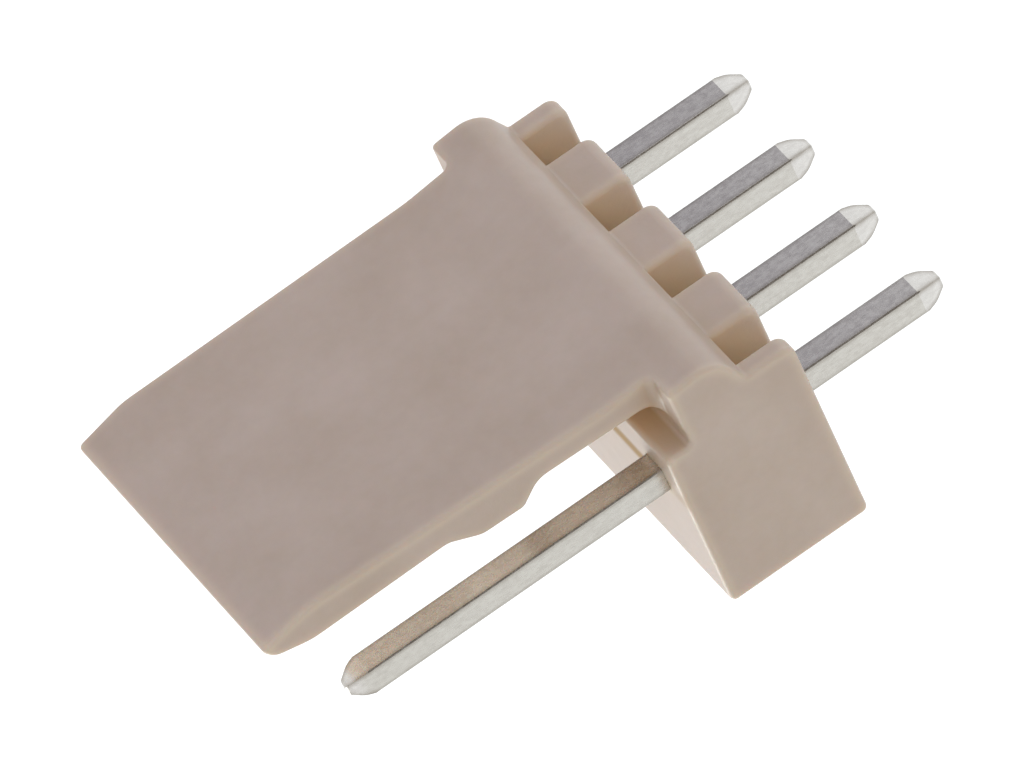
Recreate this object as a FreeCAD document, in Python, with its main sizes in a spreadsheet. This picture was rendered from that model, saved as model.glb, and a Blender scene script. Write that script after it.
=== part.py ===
import FreeCAD, Part

import math
import os
from dataclasses import dataclass
from types import SimpleNamespace

import Sketcher

# A straight pin header for a circuit board, one row of square pins in a moulded nylon housing with a
# friction-lock wall. X runs along the row, +Y points from the open side to the lock wall, and +Z is
# the direction in which the cable housing lifts off. The origin is the middle of the row of pins on
# the board's surface. All lengths are in millimetres.

SIZES = (
    ("ways", 4, "pins in the row"),
    ("pitch", 2.54, "distance between two pins"),
    ("pin_side", 0.64, "side of the square pin"),
    ("pin_grip", 0.01, "gap between a pin and its hole, on each side"),
    ("pin_edge", 0.05, "radius of a pin's long edges"),
    ("point_belly", 0.70, "share of its taper that a point has reached halfway from its tip"),
    ("belly_round", 0.80, "radius between the two halves of a point"),
    ("tip_round", 0.09, "radius around the flat at a pin's tip"),
    ("tail_reach", 3.53, "from the board's surface down to the tip of a solder tail"),
    ("tail_point", 0.60, "length of the point of a solder tail"),
    ("tail_flat", 0.24, "side of the flat at the tip of a solder tail"),
    ("mating_reach", 11.0, "from the board's surface up to the tip of a mating pin"),
    ("mating_point", 0.54, "length of the point of a mating pin"),
    ("mating_flat", 0.22, "side of the flat at the tip of a mating pin"),
    ("end_margin", 1.015, "from the last pin to the end of the base"),
    ("front_reach", 3.30, "from the pins to the front of the base"),
    ("flange_reach", 2.74, "from the pins to where the flange's underside and back would meet"),
    ("rib_reach", 1.83, "from the pins to the back of the ribs"),
    ("deck_height", 3.35, "height of the deck that the cable housing lands on"),
    ("trough_height", 2.75, "height of the lower deck in front of the wall"),
    ("trough_start", 1.10, "from the pins to the step down from the deck"),
    ("trough_fall", 0.04, "how much lower the trough is at the wall than at the step"),
    ("channel_height", 1.14, "height of the channels under the base"),
    ("channel_width", 0.98, "width of a channel, centred on its pin"),
    ("rib_edge", 0.14, "radius of the edges along the channels"),
    ("rib_heel", 0.28, "radius of the ribs' lower edge at the back"),
    ("rib_toe", 0.14, "radius of the ribs' lower edge at the front"),
    ("flange_rise", 0.46, "rise of the flange's underside from the ribs to the back"),
    ("flange_round", 0.80, "radius under the flange's back"),
    ("deck_edge", 0.14, "radius of the base's upper edges"),
    ("end_edge", 0.11, "radius of the edges around the base's end faces"),
    ("step_share", 0.30, "largest radius at the step of the deck, as a share of its height"),
    ("wall_inset", 0.775, "from the end of the base to the end of the wall, at its foot"),
    ("wall_taper", 0.20, "how much further in the wall ends at its top"),
    ("wall_inner", 1.90, "from the pins to the inner face of the wall at its foot"),
    ("wall_thickness", 0.60, "thickness of the wall above its foot"),
    ("wall_lean", 0.03, "how much the outer face leans out up to its lead-in"),
    ("wall_edge", 0.10, "radius of the edges around the wall's end faces"),
    ("heel_rise", 1.15, "from the lower deck up to where the flange's back meets the outer face"),
    ("heel_round", 4.0, "radius where they meet"),
    ("root_round", 0.50, "radius at the foot of the wall's inner face"),
    ("flare_round", 0.20, "radius at the foot of the wall's end faces"),
    ("latch_foot", 5.65, "height where the latch leaves the inner face"),
    ("latch_depth", 0.43, "how far the latch's crest stands out from the inner face"),
    ("latch_rise", 0.48, "height of the latch's lower slope"),
    ("latch_crest", 1.01, "height of the crest"),
    ("latch_ramp", 0.71, "height of the ramp above the crest"),
    ("latch_foot_round", 0.60, "radius at the latch's foot"),
    ("latch_crest_round", 0.20, "radius at the lower end of the crest"),
    ("latch_ramp_round", 0.50, "radius at the two ends of the ramp above the crest"),
    ("upper_step", 0.10, "how much nearer to the pins the inner face is above the latch"),
    ("upper_rise", 3.30, "height of the inner face above the latch, up to the lead-in"),
    ("upper_lean", 0.13, "how much the inner face leans in over that height"),
    ("lead_in_rise", 0.86, "height of the inner lead-in, up to the nose"),
    ("lead_in_run", 0.192, "depth of the inner lead-in"),
    ("lead_in_round", 1.50, "radius where a lead-in leaves its face"),
    ("nose_round", 0.45, "radius of the nose, where the inner lead-in turns over to the ridge"),
    ("ridge_rise", 0.18, "height from the nose to where its slope meets the outer lead-in"),
    ("ridge_run", 0.338, "depth from the nose to that line"),
    ("ridge_round", 0.12, "radius of the wall's top ridge"),
    ("back_lead_in", 1.24, "height of the outer lead-in, up to that line"),
    ("cut_margin", 0.60, "how far a cut goes on past what it is cut from"),
)


class Size:
    """A size that knows its value and the sheet expression that the value comes from."""

    def __init__(self, value, text):
        self.value = value
        self.text = text

    def __add__(self, other):
        return combine(self, "+", other, self.value + value_of(other))

    def __sub__(self, other):
        return combine(self, "-", other, self.value - value_of(other))

    def __mul__(self, other):
        return combine(self, "*", other, self.value * value_of(other))

    def __truediv__(self, other):
        return combine(self, "/", other, self.value / value_of(other))

    def __neg__(self):
        return Size(-self.value, f"(0 - {self.text})")


def value_of(size):
    """Gives the number behind a size or a plain number."""
    return size.value if isinstance(size, Size) else size


def plain(number):
    """Gives a size for a number that has no cell, such as the board's surface at height 0."""
    return Size(number, repr(number))


def smaller(first, second):
    """Gives the smaller of two sizes, as where a radius is limited by the wall beside it."""
    return Size(min(first.value, second.value), f"min({first.text}; {second.text})")


def combine(first, sign, second, value):
    """Joins two sizes, or a size and a plain number, in one expression."""
    text = second.text if isinstance(second, Size) else repr(second)
    return Size(value, f"({first.text} {sign} {text})")


@dataclass
class Corner:
    """A corner of an outline, placed from the origin, with a radius where it is rounded."""

    across: Size
    up: Size
    radius: Size = None

    def point(self):
        """Gives the corner's place in its sketch."""
        return FreeCAD.Vector(self.across.value, self.up.value, 0)


def make_sheet(doc):
    """Writes the driving sizes into the document's sheet and returns them by name."""
    sheet = doc.addObject("Spreadsheet::Sheet", "sizes")
    named = {}
    for row, (alias, value, meaning) in enumerate(SIZES, start=1):
        sheet.set(f"A{row}", meaning)
        sheet.set(f"B{row}", str(value))
        sheet.setAlias(f"B{row}", alias)
        named[alias] = Size(value, f"sizes.{alias}")
    doc.recompute()
    return SimpleNamespace(**named)


def origin_feature(body, role):
    """Finds one of the body's own origin planes or axes."""
    return next(item for item in body.Origin.OriginFeatures if item.Role == role)


def make_sketch(body, name, role, offset=None):
    """Adds an empty sketch on an origin plane, moved along the plane's normal by an offset."""
    sketch = body.newObject("Sketcher::SketchObject", name)
    sketch.AttachmentSupport = [(origin_feature(body, role), "")]
    sketch.MapMode = "FlatFace"
    if offset is not None:
        sketch.setExpression("AttachmentOffset.Base.z", offset.text)
    return sketch


def add_datum(sketch, name, size, *constraint):
    """Adds a dimension to the sketch and binds it to its expression."""
    index = sketch.addConstraint(Sketcher.Constraint(*constraint, size.value))
    sketch.renameConstraint(index, name)
    sketch.setExpression(f"Constraints.{name}", size.text)


def corner_arc(before, corner, after, radius):
    """Works out the arc that rounds a corner: its circle's centre and its two ends."""
    back = (before - corner).normalize()
    ahead = (after - corner).normalize()
    half_angle = back.getAngle(ahead) / 2
    run = radius / math.tan(half_angle)
    centre = corner + (back + ahead).normalize() * (radius / math.sin(half_angle))
    return centre, corner + back * run, corner + ahead * run


def draw_outline(sketch, label, corners):
    """Draws a closed outline of lines and arcs, fully held by its corners and radii."""
    count = len(corners)
    points = [corner.point() for corner in corners]
    arcs = {}
    starts = list(points)
    ends = list(points)
    for index, corner in enumerate(corners):
        if corner.radius is not None:
            after = points[(index + 1) % count]
            arcs[index], ends[index], starts[index] = corner_arc(
                points[index - 1], points[index], after, corner.radius.value)
    lines = []
    for index in range(count):
        segment = Part.LineSegment(starts[index], ends[(index + 1) % count])
        lines.append(sketch.addGeometry(segment, False))
    for index, corner in enumerate(corners):
        name = f"{label}_{index + 1}"
        came, leaves = lines[index - 1], lines[index]
        if corner.radius is None:
            sketch.addConstraint(Sketcher.Constraint("Coincident", came, 2, leaves, 1))
            holder = leaves
        else:
            holder = add_corner_arc(sketch, name, corner, arcs[index], (ends[index], starts[index]),
                                    (came, leaves))
        add_datum(sketch, f"{name}_across", corner.across, "DistanceX", -1, 1, holder, 1)
        add_datum(sketch, f"{name}_up", corner.up, "DistanceY", -1, 1, holder, 1)


def add_corner_arc(sketch, name, corner, centre, ends, lines):
    """Rounds the corner between two lines and returns the point that marks the sharp corner."""
    came, leaves = lines
    first, last = (end - centre for end in ends)
    turns_left = first.cross(last).z > 0
    if not turns_left:
        first, last = last, first
    circle = Part.Circle(centre, FreeCAD.Vector(0, 0, 1), corner.radius.value)
    arc = sketch.addGeometry(
        Part.ArcOfCircle(circle, math.atan2(first.y, first.x), math.atan2(last.y, last.x)), False)
    mark = sketch.addGeometry(Part.Point(corner.point()), True)
    arc_in, arc_out = (1, 2) if turns_left else (2, 1)
    sketch.addConstraint(Sketcher.Constraint("Tangent", came, 2, arc, arc_in))
    sketch.addConstraint(Sketcher.Constraint("Tangent", arc, arc_out, leaves, 1))
    sketch.addConstraint(Sketcher.Constraint("PointOnObject", mark, 1, came))
    sketch.addConstraint(Sketcher.Constraint("PointOnObject", mark, 1, leaves))
    add_datum(sketch, f"{name}_radius", corner.radius, "Radius", arc)
    return mark


def rectangle(left, right, low, high):
    """Gives the four corners of an upright rectangle."""
    return [Corner(left, low), Corner(right, low), Corner(right, high), Corner(left, high)]


def add_symmetric_pad(body, sketch, name, length):
    """Pads a sketch by half the length to each side of its plane."""
    pad = body.newObject("PartDesign::Pad", name)
    pad.Profile = sketch
    pad.SideType = "Symmetric"
    pad.setExpression("Length", length.text)
    return pad


def add_through_pocket(body, sketch, name, both_sides):
    """Cuts a sketch through everything, on both sides of its plane or on one."""
    pocket = body.newObject("PartDesign::Pocket", name)
    pocket.Profile = sketch
    pocket.Type = "ThroughAll"
    pocket.SideType = "Symmetric" if both_sides else "One side"
    body.Document.recompute()
    return pocket


def round_edges(body, name, radius, belongs):
    """Rounds those edges of the body so far for which belongs is true."""
    body.Document.recompute()
    base = body.Tip
    edges = [f"Edge{number}" for number, edge in enumerate(base.Shape.Edges, start=1) if belongs(edge)]
    if not edges:
        raise RuntimeError(f"No edge was found for {name}")
    fillet = body.newObject("PartDesign::Fillet", name)
    fillet.Base = (base, edges)
    fillet.setExpression("Radius", radius.text)
    body.Document.recompute()


def near(first, second):
    """Says whether two lengths are the same in practice."""
    tolerance = 1e-4
    return abs(first - second) < tolerance


def step_limit(size, radius):
    """Gives a radius, or the largest one that the step down from the deck leaves room for."""
    return smaller(radius, (size.deck_height - size.trough_height) * size.step_share)


def wall_top(size):
    """Gives the height of the line where the wall's two lead-in slopes would meet."""
    latch = size.latch_foot + size.latch_rise + size.latch_crest + size.latch_ramp
    return latch + size.upper_rise + size.lead_in_rise + size.ridge_rise


def housing_outline(size):
    """The housing's section across the row: ribs, flange, wall with latch and lead-ins, decks."""
    board = plain(0)
    outer = size.wall_inner + size.wall_thickness
    crest = size.wall_inner - size.latch_depth
    upper = size.wall_inner - size.upper_step
    lead_in = upper - size.upper_lean
    nose = lead_in + size.lead_in_run
    crest_start = size.latch_foot + size.latch_rise
    crest_end = crest_start + size.latch_crest
    latch_end = crest_end + size.latch_ramp
    lead_in_start = latch_end + size.upper_rise
    nose_height = lead_in_start + size.lead_in_rise
    return [
        Corner(-size.front_reach, board, size.rib_toe),
        Corner(size.rib_reach, board, size.rib_heel),
        Corner(size.rib_reach, size.channel_height),
        Corner(size.flange_reach, size.channel_height + size.flange_rise, size.flange_round),
        Corner(outer, size.trough_height + size.heel_rise, size.heel_round),
        Corner(outer + size.wall_lean, wall_top(size) - size.back_lead_in, size.lead_in_round),
        Corner(nose + size.ridge_run, wall_top(size), size.ridge_round),
        Corner(nose, nose_height, size.nose_round),
        Corner(lead_in, lead_in_start, size.lead_in_round),
        Corner(upper, latch_end, size.latch_ramp_round),
        Corner(crest, crest_end, size.latch_ramp_round),
        Corner(crest, crest_start, size.latch_crest_round),
        Corner(size.wall_inner, size.latch_foot, size.latch_foot_round),
        Corner(size.wall_inner, size.trough_height - size.trough_fall, size.root_round),
        Corner(size.trough_start, size.trough_height),
        Corner(size.trough_start, size.deck_height, step_limit(size, size.deck_edge)),
        Corner(-size.front_reach, size.deck_height, size.deck_edge),
    ]


def half_base(size):
    """Gives the distance from the middle of the row to the end of the base."""
    return size.pitch * (size.ways - 1) / 2 + size.end_margin


def wall_end(size, height):
    """Gives the distance from the middle of the row to the wall's end at a height."""
    slope = size.wall_taper / (wall_top(size) - size.trough_height)
    return half_base(size) - size.wall_inset - slope * (height - size.trough_height)


def end_trim(size):
    """What is cut off beside the wall down to the lower deck, with a flare at the wall's foot."""
    high = wall_top(size) + size.cut_margin
    outside = half_base(size) + size.cut_margin
    return [Corner(wall_end(size, size.trough_height), size.trough_height, size.flare_round),
            Corner(outside, size.trough_height), Corner(outside, high),
            Corner(wall_end(size, high), high)]


def mirrored(corners):
    """Gives an outline on the other side of the middle of the row."""
    return [Corner(-corner.across, corner.up, corner.radius) for corner in reversed(corners)]


def add_housing_solid(body, size):
    """The base and the wall, with the wall shorter than the base and its edges rounded."""
    sketch = make_sketch(body, "housing_section", "YZ_Plane")
    draw_outline(sketch, "housing", housing_outline(size))
    add_symmetric_pad(body, sketch, "base_and_wall", half_base(size) * 2)
    sketch = make_sketch(body, "ends_section", "XZ_Plane", -size.trough_start)
    draw_outline(sketch, "near", end_trim(size))
    draw_outline(sketch, "far", mirrored(end_trim(size)))
    add_through_pocket(body, sketch, "wall_ends", both_sides=False)
    end = half_base(size).value

    def bounds_wall_end(edge):
        """Says whether an edge goes up or down along one of the wall's end faces."""
        heights = [vertex.Z for vertex in edge.Vertexes]
        return not near(min(heights), max(heights)) and all(
            near(abs(vertex.X), wall_end(size, plain(vertex.Z)).value)
            for vertex in edge.Vertexes)

    round_edges(body, "end_edges", step_limit(size, size.end_edge),
                lambda edge: all(near(abs(vertex.X), end) for vertex in edge.Vertexes))
    round_edges(body, "wall_end_edges", step_limit(size, size.wall_edge), bounds_wall_end)


def add_channels(body, size):
    """The channels that part the ribs under the base, and the holes for the pins."""
    row_length = size.pitch * (size.ways - 1)
    first_pin = -row_length / 2
    half_channel = size.channel_width / 2
    sketch = make_sketch(body, "channel_section", "XZ_Plane")
    draw_outline(sketch, "channel", rectangle(first_pin - half_channel, first_pin + half_channel,
                                              -size.cut_margin, size.channel_height))
    channel = add_through_pocket(body, sketch, "channel", both_sides=True)
    half_hole = size.pin_side / 2 + size.pin_grip
    sketch = make_sketch(body, "hole_section", "XY_Plane")
    draw_outline(sketch, "hole", rectangle(first_pin - half_hole, first_pin + half_hole,
                                           -half_hole, half_hole))
    hole = add_through_pocket(body, sketch, "pin_hole", both_sides=True)
    pattern = body.newObject("PartDesign::LinearPattern", "all_ways")
    pattern.Originals = [channel, hole]
    pattern.Direction = (origin_feature(body, "X_Axis"), [""])
    pattern.setExpression("Length", row_length.text)
    pattern.setExpression("Occurrences", size.ways.text)
    body.Tip = pattern
    sides = [first_pin.value + size.pitch.value * way + side * half_channel.value
             for way in range(size.ways.value) for side in (-1, 1)]
    round_edges(body, "rib_edges", size.rib_edge,
                lambda edge: all(near(vertex.Z, 0) for vertex in edge.Vertexes)
                and any(near(edge.Vertexes[0].X, side) and near(edge.Vertexes[-1].X, side)
                        for side in sides))


def make_housing(doc, size):
    """The moulded nylon body, in one piece: lock wall, base with flange and ribs, pin holes."""
    body = doc.addObject("PartDesign::Body", "housing")
    body.Label = "housing"
    add_housing_solid(body, size)
    add_channels(body, size)
    return body


def rounded_square(side, radius):
    """Gives the corners of a square around the origin, all with one radius."""
    half = side / 2
    return [Corner(corner.across, corner.up, radius) for corner in rectangle(-half, half, -half, half)]


def point_outline(size, flat, length, reach, sign):
    """What is pressed away around a point, which is up where the sign is 1 and down where it is -1."""
    taper = (size.pin_side - flat) / 2
    belly = flat / 2 + taper * size.point_belly
    outside = size.pin_side / 2 + size.cut_margin
    tip = reach * sign
    shoulder = (reach - length) * sign
    beyond = (reach + size.cut_margin) * sign
    right = [
        Corner(flat / 2, tip, size.tip_round),
        Corner(belly, (reach - length / 2) * sign, size.belly_round),
        Corner(size.pin_side / 2, shoulder),
        Corner(outside, shoulder),
        Corner(outside, beyond),
    ]
    return right + mirrored(right)


def make_pin(doc, size, number):
    """One square pin: a bar with rounded edges, pressed to a blunt point at both ends."""
    name = f"pin_{number}"
    body = doc.addObject("PartDesign::Body", name)
    body.Label = name
    sketch = make_sketch(body, f"{name}_section", "XY_Plane", -size.tail_reach)
    draw_outline(sketch, "bar", rounded_square(size.pin_side, size.pin_edge))
    bar = body.newObject("PartDesign::Pad", f"{name}_bar")
    bar.Profile = sketch
    bar.setExpression("Length", (size.tail_reach + size.mating_reach).text)
    up, down = 1, -1
    for role in ("XZ_Plane", "YZ_Plane"):
        sketch = make_sketch(body, f"{name}_points_{role[:2]}", role)
        draw_outline(sketch, "mating", point_outline(
            size, size.mating_flat, size.mating_point, size.mating_reach, up))
        draw_outline(sketch, "tail", point_outline(
            size, size.tail_flat, size.tail_point, size.tail_reach, down))
        add_through_pocket(body, sketch, f"{name}_pressed_{role[:2]}", both_sides=True)
    place = size.pitch * (number - (size.ways.value + 1) / 2)
    body.setExpression("Placement.Base.x", place.text)
    doc.recompute()
    return body


def check_document(doc, pieces):
    """Stops with a message if an object failed or a piece has no valid solid."""
    for item in doc.Objects:
        if "Invalid" in item.State or "Error" in item.State:
            raise RuntimeError(f"{item.Label} failed: {item.State}")
    for piece in pieces:
        if piece.Shape.isNull() or not piece.Shape.isValid():
            raise RuntimeError(f"{piece.Label} has no valid shape")


def main():
    """Builds the header and writes one file for each piece."""
    doc = FreeCAD.newDocument("pin_header")
    size = make_sheet(doc)
    pieces = [make_housing(doc, size)]
    for number in range(1, size.ways.value + 1):
        pieces.append(make_pin(doc, size, number))
    doc.recompute()
    check_document(doc, pieces)
    os.makedirs("parts", exist_ok=True)
    for piece in pieces:
        piece.Shape.exportStep(f"parts/{piece.Label}.step")
        print(f"{piece.Label}: {piece.Shape.Volume:.3f} mm3, {len(piece.Shape.Solids)} solid")


main()
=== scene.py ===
"""The four-way pin header, dressed as in its photograph.

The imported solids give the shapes: one moulded housing with a tall latch wall, and four square pins.
This file gives each of them its real surface, and sets the studio and the photograph's view.
"""

import logging
from dataclasses import dataclass, field
from enum import IntEnum
from math import cos, radians, sin

import bpy
from mathutils import Matrix, Vector

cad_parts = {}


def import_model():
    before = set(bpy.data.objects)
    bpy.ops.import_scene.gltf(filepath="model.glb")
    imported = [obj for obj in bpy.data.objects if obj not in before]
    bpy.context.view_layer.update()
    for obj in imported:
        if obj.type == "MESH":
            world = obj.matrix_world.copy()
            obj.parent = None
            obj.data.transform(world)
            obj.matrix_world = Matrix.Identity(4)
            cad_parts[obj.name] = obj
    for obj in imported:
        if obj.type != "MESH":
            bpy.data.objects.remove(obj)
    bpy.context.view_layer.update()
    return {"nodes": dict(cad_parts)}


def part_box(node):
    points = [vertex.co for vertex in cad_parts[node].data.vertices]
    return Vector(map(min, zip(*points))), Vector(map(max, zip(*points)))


LOG = logging.getLogger("pin_header")
MM = 0.001
WHITE = "#FFFFFF"
# Nearly all of a noise lies between these two shares, so they are taken as its full range.
NOISE_LOW, NOISE_HIGH = 0.3, 0.7
# How many short rays feel for the neighbouring surfaces at each point.
FEELER_RAYS = 4

Tree = bpy.types.NodeTree
Socket = bpy.types.NodeSocket
Rgba = tuple[float, float, float, float]


def linear_rgba(hex_colour: str) -> Rgba:
    """Turn an sRGB hex colour to the linear colour that a shader takes.

    Args:
        hex_colour: The colour as "#RRGGBB".

    Returns:
        Linear red, green and blue, and an alpha of one.
    """
    full, knee, slope, offset, power = 255, 0.04045, 12.92, 0.055, 2.4
    digits = hex_colour.lstrip("#")
    shares = [int(digits[start : start + 2], 16) / full for start in (0, 2, 4)]
    red, green, blue = (
        share / slope if share <= knee else ((share + offset) / (1 + offset)) ** power
        for share in shares
    )
    return red, green, blue, 1.0


def pattern_scale(size_mm: float) -> float:
    """Turn the real size of a pattern's features to a texture's scale, in features per metre.

    Args:
        size_mm: How wide one feature is, in millimetres.

    Returns:
        The scale for object coordinates in metres.
    """
    return 1 / (size_mm * MM)


def add_node(
    tree: Tree,
    kind: str,
    settings: dict[str, object] | None = None,
    inputs: dict[str | int, object] | None = None,
) -> bpy.types.Node:
    """Add one node, set it up and link what feeds it.

    Args:
        tree: The material's or world's node tree.
        kind: Blender's name for the kind of node.
        settings: The node's own settings, by name.
        inputs: For each input, by name or number, a constant or the output that feeds it.

    Returns:
        The new node.
    """
    node = tree.nodes.new(kind)
    for name, value in (settings or {}).items():
        setattr(node, name, value)
    for name, value in (inputs or {}).items():
        if isinstance(value, Socket):
            tree.links.new(value, node.inputs[name])
        else:
            node.inputs[name].default_value = value
    return node


def fresh_material(name: str) -> bpy.types.Material:
    """Make a material with an empty node tree.

    Args:
        name: The finish's name.

    Returns:
        The new material.
    """
    material = bpy.data.materials.new(name)
    material.use_nodes = True
    material.node_tree.nodes.clear()
    return material


class MixInput(IntEnum):
    """The sockets of a colour mix, which share their names with those of its other data types."""

    FACTOR = 0
    FIRST = 6
    SECOND = 7
    RESULT = 2


@dataclass(frozen=True)
class Mottle:
    """An irregular pattern: how wide its features are, how fine its detail, how far it is drawn out."""

    feature_mm: float
    octaves: float
    roughness: float = 0.5
    lengthwise: float = 1.0

    def spread(self, tree: Tree, place: Socket) -> Socket:
        """Spread the pattern over a surface, longer along z where it is drawn out.

        Args:
            tree: The material's node tree.
            place: The object coordinates.

        Returns:
            The pattern's share at each point.
        """
        drawn = add_node(
            tree, "ShaderNodeMapping", None, {"Vector": place, "Scale": (1.0, 1.0, self.lengthwise)}
        )
        noise = add_node(
            tree,
            "ShaderNodeTexNoise",
            {"noise_dimensions": "3D"},
            {
                "Vector": drawn.outputs[0],
                "Scale": pattern_scale(self.feature_mm),
                "Detail": self.octaves,
                "Roughness": self.roughness,
            },
        )
        return noise.outputs["Fac"]


@dataclass(frozen=True)
class PaintedEdgeLight:
    """How far the painted light on a rounded edge reaches, pale on the nylon and dark on the pins, and how
    thin the solid is there.
    """

    reach_mm: float
    solid: float
    thin: float

    def mask(self, tree: Tree) -> Socket:
        """Feel for the solid behind the surface.

        Args:
            tree: The material's node tree.

        Returns:
            A share that is one at a thin edge and zero on a flat face.
        """
        backing = add_node(
            tree,
            "ShaderNodeAmbientOcclusion",
            {"samples": FEELER_RAYS, "inside": True, "only_local": True},
            {"Distance": self.reach_mm * MM},
        )
        thinness = add_node(
            tree,
            "ShaderNodeMapRange",
            {"interpolation_type": "SMOOTHSTEP"},
            {
                "Value": backing.outputs["AO"],
                "From Min": self.thin,
                "From Max": self.solid,
                "To Min": 1.0,
                "To Max": 0.0,
            },
        )
        return thinness.outputs[0]


def lay_tones(tree: Tree, base: Socket | Rgba, tones: tuple[tuple[Socket, Socket | Rgba], ...]) -> Socket:
    """Lay one tone after another over a base colour, each as strongly as its mask says.

    Args:
        tree: The material's or world's node tree.
        base: The colour below all the tones.
        tones: For each tone its mask and its colour, from the lowest up.

    Returns:
        The colour with all the tones on it.
    """
    colour = base
    for mask, tone in tones:
        mix = add_node(
            tree,
            "ShaderNodeMix",
            {"data_type": "RGBA"},
            {MixInput.FACTOR: mask, MixInput.FIRST: colour, MixInput.SECOND: tone},
        )
        colour = mix.outputs[MixInput.RESULT]
    return colour


@dataclass(frozen=True)
class MouldedNylon:
    """Natural polyamide 66, injection moulded in a finely eroded steel tool.

    It gives the eye a warm grey-beige satin skin with faint clouds and no sharp highlight. Light and shade
    are painted into its colour, standing in for light that bounces in and crosses the plastic: a golden glow
    in the hollows, pale highlights on the outer edges, a lighter tone on the wall's inner side, and a soft
    line of shade along the deck.
    """

    slot: str = "natural_nylon"
    skin: str = "#BDAA9B"
    cloud: str = "#C6B4A8"
    # Painted light and shade: a golden glow in the hollows, browner towards the deck's core.
    hollow: str = "#D5BB9B"
    core: str = "#BFA280"
    # Painted highlight on the thin outer edges.
    edge: str = "#CFC1AE"
    # Painted lighter tone on the wall's inner side, standing in for light.
    lit: str = "#DECCBC"
    # Painted shade in a soft line along the deck.
    line: str = "#AE9066"
    clouds: Mottle = Mottle(2.2, 3.0, 0.55)
    specks: Mottle = Mottle(0.32, 2.0, 0.6)
    sinks: Mottle = Mottle(1.4, 1.0)
    # The tool's eroded grain is finer than a pixel, so it is drawn a little coarser here to show.
    grain: Mottle = Mottle(0.09, 2.0)
    waver: Mottle = Mottle(2.2, 1.0)
    speck_share: float = 0.35
    cloud_range: tuple[float, float] = (0.45, 0.9)
    grain_height_mm: float = 0.004
    sink_height_mm: float = 0.02
    smoothest: float = 0.36
    roughest: float = 0.46
    ior: float = 1.53
    translucency: float = 0.30
    glow_mm: float = 0.55
    # Red light goes furthest through the plastic and blue the least.
    glow_spread: tuple[float, float, float] = (1.0, 0.45, 0.2)
    hollow_reach_mm: float = 1.3
    hollow_open: float = 0.92
    hollow_closed: float = 0.35
    core_mm: tuple[float, float] = (1.5, 2.6)
    lit_mm: tuple[float, float] = (3.4, 4.2)
    lit_turn: tuple[float, float] = (-0.3, -0.9)
    edges: PaintedEdgeLight = PaintedEdgeLight(0.28, 0.96, 0.55)
    line_y_mm: float = -0.17
    line_core_mm: float = 0.05
    line_half_mm: float = 0.36
    line_matt: float = 0.5
    line_wander_mm: float = 0.04
    line_fade_mm: tuple[float, float] = (3.5, 4.2)
    line_left: float = 0.3
    deck_mm: float = 3.35
    deck_skin_mm: float = 0.04

    def deck_line(self, tree: Tree, place: Socket) -> Socket:
        """Mask the soft line of painted shade that runs along the deck.

        Args:
            tree: The material's node tree.
            place: The object coordinates.

        Returns:
            A share that is one on the line and zero off it.
        """
        parts = add_node(tree, "ShaderNodeSeparateXYZ", None, {0: place})
        drift = add_node(
            tree,
            "ShaderNodeMapRange",
            None,
            {
                "Value": self.waver.spread(tree, place),
                "From Min": NOISE_LOW,
                "From Max": NOISE_HIGH,
                "To Min": (self.line_y_mm - self.line_wander_mm) * MM,
                "To Max": (self.line_y_mm + self.line_wander_mm) * MM,
            },
        )
        away = add_node(
            tree, "ShaderNodeMath", {"operation": "SUBTRACT"}, {0: parts.outputs["Y"], 1: drift.outputs[0]}
        )
        distance = add_node(tree, "ShaderNodeMath", {"operation": "ABSOLUTE"}, {0: away.outputs[0]})
        near = add_node(
            tree,
            "ShaderNodeMapRange",
            {"interpolation_type": "SMOOTHSTEP"},
            {
                "Value": distance.outputs[0],
                "From Min": self.line_core_mm * MM,
                "From Max": self.line_half_mm * MM,
                "To Min": 1.0,
                "To Max": 0.0,
            },
        )
        on_deck = add_node(
            tree,
            "ShaderNodeMath",
            {"operation": "COMPARE"},
            {0: parts.outputs["Z"], 1: self.deck_mm * MM, 2: self.deck_skin_mm * MM},
        )
        fade = add_node(
            tree,
            "ShaderNodeMapRange",
            None,
            {
                "Value": parts.outputs["X"],
                "From Min": self.line_fade_mm[0] * MM,
                "From Max": self.line_fade_mm[1] * MM,
                "To Min": 1.0,
                "To Max": self.line_left,
            },
        )
        mask = near.outputs[0]
        for limit in (fade, on_deck):
            mask = add_node(
                tree, "ShaderNodeMath", {"operation": "MULTIPLY"}, {0: mask, 1: limit.outputs[0]}
            ).outputs[0]
        return mask

    def paint_hollow_light(self, tree: Tree, place: Socket) -> tuple[Socket, Socket]:
        """Mask the hollows and paint their light and shade: a golden glow that browns from the ribs'
        channels up to the deck's core.

        Args:
            tree: The material's node tree.
            place: The object coordinates.

        Returns:
            A share that is one deep in a hollow, and the tone there.
        """
        openness = add_node(
            tree,
            "ShaderNodeAmbientOcclusion",
            {"samples": FEELER_RAYS},
            {"Distance": self.hollow_reach_mm * MM},
        )
        depth = add_node(
            tree,
            "ShaderNodeMapRange",
            {"interpolation_type": "SMOOTHSTEP"},
            {
                "Value": openness.outputs["AO"],
                "From Min": self.hollow_closed,
                "From Max": self.hollow_open,
                "To Min": 1.0,
                "To Max": 0.0,
            },
        )
        parts = add_node(tree, "ShaderNodeSeparateXYZ", None, {0: place})
        inward = add_node(
            tree,
            "ShaderNodeMapRange",
            None,
            {
                "Value": parts.outputs["Z"],
                "From Min": self.core_mm[0] * MM,
                "From Max": self.core_mm[1] * MM,
            },
        )
        tone = lay_tones(
            tree, linear_rgba(self.hollow), ((inward.outputs[0], linear_rgba(self.core)),)
        )
        return depth.outputs[0], tone

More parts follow.
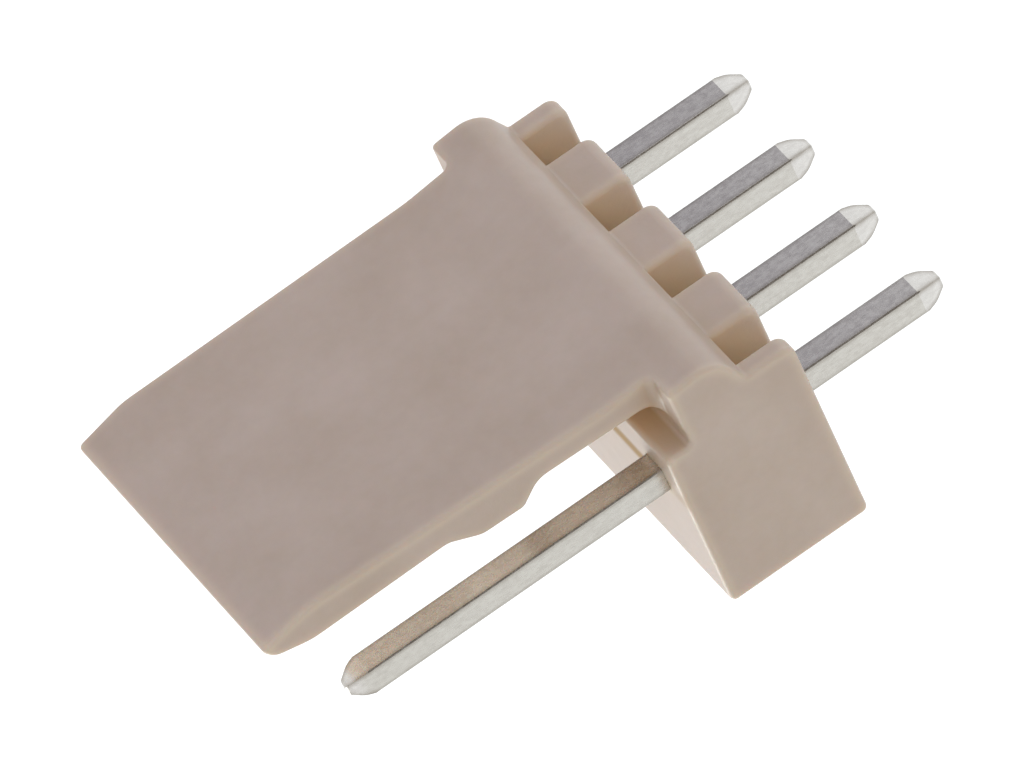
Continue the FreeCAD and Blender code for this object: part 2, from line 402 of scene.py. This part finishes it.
    def painted_inner_light(self, tree: Tree, place: Socket, facing: Socket) -> Socket:
        """Mask the wall's inner side, which faces the pins above the deck and gets a painted lighter tone
        there, as if more light fell on it.

        Args:
            tree: The material's node tree.
            place: The object coordinates.
            facing: The surface's direction on the object.

        Returns:
            A share that is one on the wall's inner side and zero elsewhere.
        """
        parts = add_node(tree, "ShaderNodeSeparateXYZ", None, {0: place})
        turns = add_node(tree, "ShaderNodeSeparateXYZ", None, {0: facing})
        above = add_node(
            tree,
            "ShaderNodeMapRange",
            None,
            {
                "Value": parts.outputs["Z"],
                "From Min": self.lit_mm[0] * MM,
                "From Max": self.lit_mm[1] * MM,
            },
        )
        frontward = add_node(
            tree,
            "ShaderNodeMapRange",
            None,
            {
                "Value": turns.outputs["Y"],
                "From Min": self.lit_turn[0],
                "From Max": self.lit_turn[1],
            },
        )
        both = add_node(
            tree, "ShaderNodeMath", {"operation": "MULTIPLY"}, {0: above.outputs[0], 1: frontward.outputs[0]}
        )
        return both.outputs[0]

    def relief(self, tree: Tree, place: Socket) -> Socket:
        """Raise the broad sinks and the tool's fine grain.

        Args:
            tree: The material's node tree.
            place: The object coordinates.

        Returns:
            The surface's direction with both on it.
        """
        broad = add_node(
            tree,
            "ShaderNodeBump",
            None,
            {
                "Strength": 1.0,
                "Distance": self.sink_height_mm * MM,
                "Height": self.sinks.spread(tree, place),
            },
        )
        fine = add_node(
            tree,
            "ShaderNodeBump",
            None,
            {
                "Strength": 1.0,
                "Distance": self.grain_height_mm * MM,
                "Height": self.grain.spread(tree, place),
                "Normal": broad.outputs[0],
            },
        )
        return fine.outputs[0]

    def make(self) -> bpy.types.Material:
        """Make the nylon's material.

        Returns:
            The new material, which fits the housing's own coordinates.
        """
        material = fresh_material("Moulded natural nylon")
        tree = material.node_tree
        spots = add_node(tree, "ShaderNodeTexCoord")
        place = spots.outputs["Object"]
        clouds = self.clouds.spread(tree, place)
        blotches = add_node(
            tree,
            "ShaderNodeMath",
            {"operation": "MULTIPLY_ADD"},
            {0: self.specks.spread(tree, place), 1: self.speck_share, 2: clouds},
        )
        cloudiness = add_node(
            tree,
            "ShaderNodeMapRange",
            None,
            {
                "Value": blotches.outputs[0],
                "From Min": self.cloud_range[0],
                "From Max": self.cloud_range[1],
            },
        )
        line = self.deck_line(tree, place)
        colour = lay_tones(
            tree,
            linear_rgba(self.skin),
            (
                (cloudiness.outputs[0], linear_rgba(self.cloud)),
                # painted highlight on the thin outer edges
                (self.edges.mask(tree), linear_rgba(self.edge)),
                # painted golden light and browner shade in the hollows
                self.paint_hollow_light(tree, place),
                # painted lighter tone on the wall's inner side
                (self.painted_inner_light(tree, place, spots.outputs["Normal"]), linear_rgba(self.lit)),
                # painted shade in a soft line along the deck
                (line, linear_rgba(self.line)),
            ),
        )
        satin = add_node(
            tree,
            "ShaderNodeMapRange",
            None,
            {
                "Value": clouds,
                "From Min": NOISE_LOW,
                "From Max": NOISE_HIGH,
                "To Min": self.smoothest,
                "To Max": self.roughest,
            },
        )
        roughness = add_node(
            tree,
            "ShaderNodeMath",
            {"operation": "MULTIPLY_ADD"},
            {0: line, 1: self.line_matt, 2: satin.outputs[0]},
        )
        shader = add_node(
            tree,
            "ShaderNodeBsdfPrincipled",
            None,
            {
                "Base Color": colour,
                "Roughness": roughness.outputs[0],
                "Metallic": 0.0,
                "IOR": self.ior,
                "Subsurface Weight": self.translucency,
                "Subsurface Radius": self.glow_spread,
                "Subsurface Scale": self.glow_mm * MM,
                "Normal": self.relief(tree, place),
            },
        )
        add_node(tree, "ShaderNodeOutputMaterial", None, {"Surface": shader.outputs[0]})
        return material


@dataclass(frozen=True)
class TinPlatedBrass:
    """Square brass wire, drawn, pointed and plated with matt tin.

    It gives the eye a soft grey mirror with cloudy crystals and drawn-out streaks along the wire, and a
    darker, browner line of painted shade along the edges.
    """

    slot: str = "tinned_pin"
    bright: str = "#DDDBD7"
    dull: str = "#CDCAC6"
    # Painted shade along the pins' edges.
    painted_edge_shade: str = "#8E867B"
    # Tin's crystals and the draw marks are a few microns wide, so both are drawn far coarser to show.
    crystals: Mottle = Mottle(0.10, 3.0, 0.6, lengthwise=0.6)
    streaks: Mottle = Mottle(0.05, 3.0, 0.6, lengthwise=0.12)
    streak_share: float = 0.45
    plate_range: tuple[float, float] = (0.5, 0.95)
    crystal_height_mm: float = 0.0012
    edges: PaintedEdgeLight = PaintedEdgeLight(0.14, 0.95, 0.45)
    smoothest: float = 0.22
    roughest: float = 0.32

    def make(self) -> bpy.types.Material:
        """Make the tin plate's material.

        Returns:
            The new material, drawn out along the pins.
        """
        material = fresh_material("Matt tin plate on drawn brass")
        tree = material.node_tree
        place = add_node(tree, "ShaderNodeTexCoord").outputs["Object"]
        crystals = self.crystals.spread(tree, place)
        mottle = add_node(
            tree,
            "ShaderNodeMath",
            {"operation": "MULTIPLY_ADD"},
            {0: self.streaks.spread(tree, place), 1: self.streak_share, 2: crystals},
        )
        brightness = add_node(
            tree,
            "ShaderNodeMapRange",
            None,
            {
                "Value": mottle.outputs[0],
                "From Min": self.plate_range[0],
                "From Max": self.plate_range[1],
            },
        )
        colour = lay_tones(
            tree,
            linear_rgba(self.dull),
            (
                (brightness.outputs[0], linear_rgba(self.bright)),
                # painted shade along the pins' edges
                (self.edges.mask(tree), linear_rgba(self.painted_edge_shade)),
            ),
        )
        haze = add_node(
            tree,
            "ShaderNodeMapRange",
            None,
            {
                "Value": crystals,
                "From Min": NOISE_LOW,
                "From Max": NOISE_HIGH,
                "To Min": self.smoothest,
                "To Max": self.roughest,
            },
        )
        relief = add_node(
            tree,
            "ShaderNodeBump",
            None,
            {"Strength": 1.0, "Distance": self.crystal_height_mm * MM, "Height": mottle.outputs[0]},
        )
        shader = add_node(
            tree,
            "ShaderNodeBsdfPrincipled",
            None,
            {
                "Base Color": colour,
                "Roughness": haze.outputs[0],
                "Metallic": 1.0,
                "Normal": relief.outputs[0],
            },
        )
        add_node(tree, "ShaderNodeOutputMaterial", None, {"Surface": shader.outputs[0]})
        return material


@dataclass
class Housing:
    """The moulded base with its latch wall: one solid that holds the four pins."""

    node: str = "housing"
    finish: MouldedNylon = field(default_factory=MouldedNylon)

    def dress(self, nodes: dict[str, bpy.types.Object]) -> None:
        """Give the housing its nylon.

        Args:
            nodes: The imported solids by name.
        """
        solid = nodes[self.node]
        solid.data.materials[0] = self.finish.make()
        low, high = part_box(self.node)
        LOG.info("%s: nylon, %.2f mm long", self.node, (high - low).x / MM)


@dataclass
class PinRow:
    """The four square pins, each from its solder tail through the base to its mating point."""

    count: int = 4
    finish: TinPlatedBrass = field(default_factory=TinPlatedBrass)

    def names(self) -> list[str]:
        """Name the pins from the far end of the row to the near one."""
        return [f"pin_{number}" for number in range(1, self.count + 1)]

    def dress(self, nodes: dict[str, bpy.types.Object]) -> None:
        """Give every pin its tin plate.

        Args:
            nodes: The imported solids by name.
        """
        plate = self.finish.make()
        for name in self.names():
            solid = nodes[name]
            solid.data.materials[0] = plate
            low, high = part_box(name)
            LOG.info("%s: tin plate, %.2f mm long", name, (high - low).z / MM)


@dataclass(frozen=True)
class SoftBox:
    """A lamp with a broad pale face, which lights the object softly from one side."""

    name: str
    place_mm: tuple[float, float, float]
    width_mm: float
    watts: float
    tint: str = WHITE

    def light(self) -> None:
        """Hang the lamp, facing the object."""
        data = bpy.data.lights.new(self.name, "AREA")
        data.shape = "SQUARE"
        data.size = self.width_mm * MM
        data.energy = self.watts
        data.color = linear_rgba(self.tint)[:3]
        lamp = bpy.data.objects.new(self.name, data)
        lamp.location = Vector(self.place_mm) * MM
        lamp.rotation_euler = lamp.location.to_track_quat("Z", "Y").to_euler()
        bpy.context.scene.collection.objects.link(lamp)
        LOG.info("%s: %.2f W", self.name, self.watts)


def flat_sheet(
    name: str, width_mm: float, height_mm: float, paper: bpy.types.Material
) -> bpy.types.Object:
    """Make a flat sheet of paper around the origin, as a part of the stage.

    Args:
        name: The sheet's name.
        width_mm: Its size along x.
        height_mm: Its size along y.
        paper: Its material.

    Returns:
        The sheet's object.
    """
    across, up = width_mm * MM / 2, height_mm * MM / 2
    mesh = bpy.data.meshes.new(name)
    corners = [(-across, -up, 0), (across, -up, 0), (across, up, 0), (-across, up, 0)]
    mesh.from_pydata(corners, [], [(0, 1, 2, 3)])
    mesh.materials.append(paper)
    sheet = bpy.data.objects.new(name, mesh)
    bpy.context.scene.collection.objects.link(sheet)
    return sheet


@dataclass(frozen=True)
class GreyCard:
    """A card beside the object that shows only in its gloss, as a studio's darker walls do."""

    name: str
    place_mm: tuple[float, float, float]
    width_mm: float
    height_mm: float
    grey: str

    def stand(self) -> None:
        """Stand the card upright, facing the object."""
        material = fresh_material(f"Matt paper, {self.name}")
        tree = material.node_tree
        glow = add_node(
            tree, "ShaderNodeEmission", None, {"Color": linear_rgba(self.grey), "Strength": 1.0}
        )
        add_node(tree, "ShaderNodeOutputMaterial", None, {"Surface": glow.outputs[0]})
        material.cycles.emission_sampling = "NONE"
        card = flat_sheet(self.name, self.width_mm, self.height_mm, material)
        card.location = Vector(self.place_mm) * MM
        level = Vector((card.location.x, card.location.y, 0))
        card.rotation_euler = level.to_track_quat("Z", "Y").to_euler()
        card.visible_camera = False
        card.visible_diffuse = False
        card.visible_shadow = False
        card.visible_transmission = False
        LOG.info("%s: grey %s", self.name, self.grey)


@dataclass(frozen=True)
class PaperFloor:
    """A wide sheet of white paper below the solder tails, which takes the object's soft shadow."""

    below_mm: float = -15.5
    width_mm: float = 2600.0
    paper: str = "#F0F0F0"
    lift: float = 0.30

    def lay(self) -> None:
        """Lay the paper, a little lifted where it is seen so that it comes out white."""
        material = fresh_material("White matt paper")
        tree = material.node_tree
        matt = add_node(tree, "ShaderNodeBsdfDiffuse", None, {"Color": linear_rgba(self.paper)})
        share = add_node(
            tree, "ShaderNodeMath", {"operation": "MULTIPLY"}, {0: seen_rays(tree), 1: self.lift}
        )
        glow = add_node(
            tree,
            "ShaderNodeEmission",
            None,
            {"Color": linear_rgba(WHITE), "Strength": share.outputs[0]},
        )
        both = add_node(tree, "ShaderNodeAddShader", None, {0: matt.outputs[0], 1: glow.outputs[0]})
        add_node(tree, "ShaderNodeOutputMaterial", None, {"Surface": both.outputs[0]})
        material.cycles.emission_sampling = "NONE"
        floor = flat_sheet("paper_floor", self.width_mm, self.width_mm, material)
        floor.location.z = self.below_mm * MM
        LOG.info("paper_floor: %.1f mm below the board's face", -self.below_mm)


def seen_rays(tree: Tree) -> Socket:
    """Tell the rays that see a white background from those that only carry soft light.

    Args:
        tree: The node tree of the floor's paper or the world.

    Returns:
        One for camera, glossy and transmission rays, and zero for the rest.
    """
    path = add_node(tree, "ShaderNodeLightPath")
    seen = path.outputs["Is Camera Ray"]
    for ray in ("Is Glossy Ray", "Is Transmission Ray"):
        seen = add_node(
            tree, "ShaderNodeMath", {"operation": "MAXIMUM"}, {0: seen, 1: path.outputs[ray]}
        ).outputs[0]
    return seen


@dataclass
class Studio:
    """Plain soft light all round, a white backdrop and a white floor.

    The fill is a little warm where it comes from the pins' side and a little cool from behind the
    wall. One lamp lights the front and the deck, and a weaker one stands beside the camera.
    """

    fill: float = 0.70
    fill_front: str = "#F6F8E9"
    fill_back: str = "#ECECFF"
    front_way: tuple[float, float, float] = (0.7071, -0.7071, 0.0)
    lamps: tuple[SoftBox, ...] = (
        SoftBox(
            "front_softbox", place_mm=(-120.0, -400.0, 265.0), width_mm=380.0, watts=1.50, tint="#FBFFFF"
        ),
        SoftBox("camera_side_softbox", place_mm=(300.0, 300.0, 20.0), width_mm=300.0, watts=0.34),
    )
    cards: tuple[GreyCard, ...] = (
        GreyCard("far_wall_card", (-36.0, 36.0, 4.75), 120.0, 40.5, "#ADAAB1"),
        GreyCard("camera_wall_card", (11.5, 11.5, -1.25), 24.0, 28.5, "#716960"),
        GreyCard("side_wall_card", (36.0, -36.0, 4.75), 90.0, 40.5, "#F2F2EE"),
    )
    floor: PaperFloor = field(default_factory=PaperFloor)

    def set_world(self) -> None:
        """Make the backdrop white where it is seen, and a plain soft fill where it only lights."""
        world = bpy.data.worlds.new("Studio")
        bpy.context.scene.world = world
        world.use_nodes = True
        tree = world.node_tree
        tree.nodes.clear()
        seen = add_node(
            tree, "ShaderNodeBackground", None, {"Color": linear_rgba(WHITE), "Strength": 1.0}
        )
        way = add_node(tree, "ShaderNodeTexCoord").outputs["Generated"]
        ahead = add_node(
            tree, "ShaderNodeVectorMath", {"operation": "DOT_PRODUCT"}, {0: way, 1: self.front_way}
        )
        turn = add_node(
            tree,
            "ShaderNodeMapRange",
            None,
            {"Value": ahead.outputs["Value"], "From Min": -1.0, "From Max": 1.0},
        )
        tint = lay_tones(
            tree, linear_rgba(self.fill_back), ((turn.outputs[0], linear_rgba(self.fill_front)),)
        )
        soft = add_node(tree, "ShaderNodeBackground", None, {"Color": tint, "Strength": self.fill})
        choice = add_node(
            tree,
            "ShaderNodeMixShader",
            None,
            {0: seen_rays(tree), 1: soft.outputs[0], 2: seen.outputs[0]},
        )
        add_node(tree, "ShaderNodeOutputWorld", None, {"Surface": choice.outputs[0]})
        world.cycles.sampling_method = "NONE"

    def build(self) -> None:
        """Set the world, the lamps, the cards and the floor."""
        bpy.context.scene.view_settings.view_transform = "Standard"
        self.set_world()
        self.floor.lay()
        for lamp in self.lamps:
            lamp.light()
        for card in self.cards:
            card.stand()


@dataclass(frozen=True)
class PhotographView:
    """The camera at the photograph's own viewpoint: far off behind the wall's near end, and turned."""

    place_mm: tuple[float, float, float] = (258.455, 262.596, 60.917)
    aim_mm: tuple[float, float, float] = (-0.4095, 0.1161, 4.3351)
    roll_degrees: float = -124.5652
    lens_mm: float = 654.861
    sensor_mm: float = 36.0

    def build(self) -> None:
        """Set up the camera and look through it."""
        data = bpy.data.cameras.new("photograph_camera")
        data.sensor_fit = "HORIZONTAL"
        data.sensor_width = self.sensor_mm
        data.lens = self.lens_mm
        place = Vector(self.place_mm) * MM
        forward = (Vector(self.aim_mm) * MM - place).normalized()
        level = forward.cross(Vector((0, 0, 1))).normalized()
        upright = level.cross(forward)
        roll = radians(self.roll_degrees)
        right = level * cos(roll) + upright * sin(roll)
        up = upright * cos(roll) - level * sin(roll)
        turn = Matrix((right, up, -forward)).transposed()
        camera = bpy.data.objects.new("photograph_camera", data)
        camera.matrix_world = Matrix.Translation(place) @ turn.to_4x4()
        bpy.context.scene.collection.objects.link(camera)
        bpy.context.scene.camera = camera
        LOG.info("photograph_camera: %.0f mm away", place.length / MM)


def main() -> None:
    """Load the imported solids, dress them, and set the studio and the view."""
    logging.basicConfig(level=logging.INFO, format="%(name)s: %(message)s")
    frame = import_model()
    PhotographView().build()
    Studio().build()
    Housing().dress(frame["nodes"])
    PinRow().dress(frame["nodes"])
    bpy.context.view_layer.update()


if __name__ == "__main__":
    main()
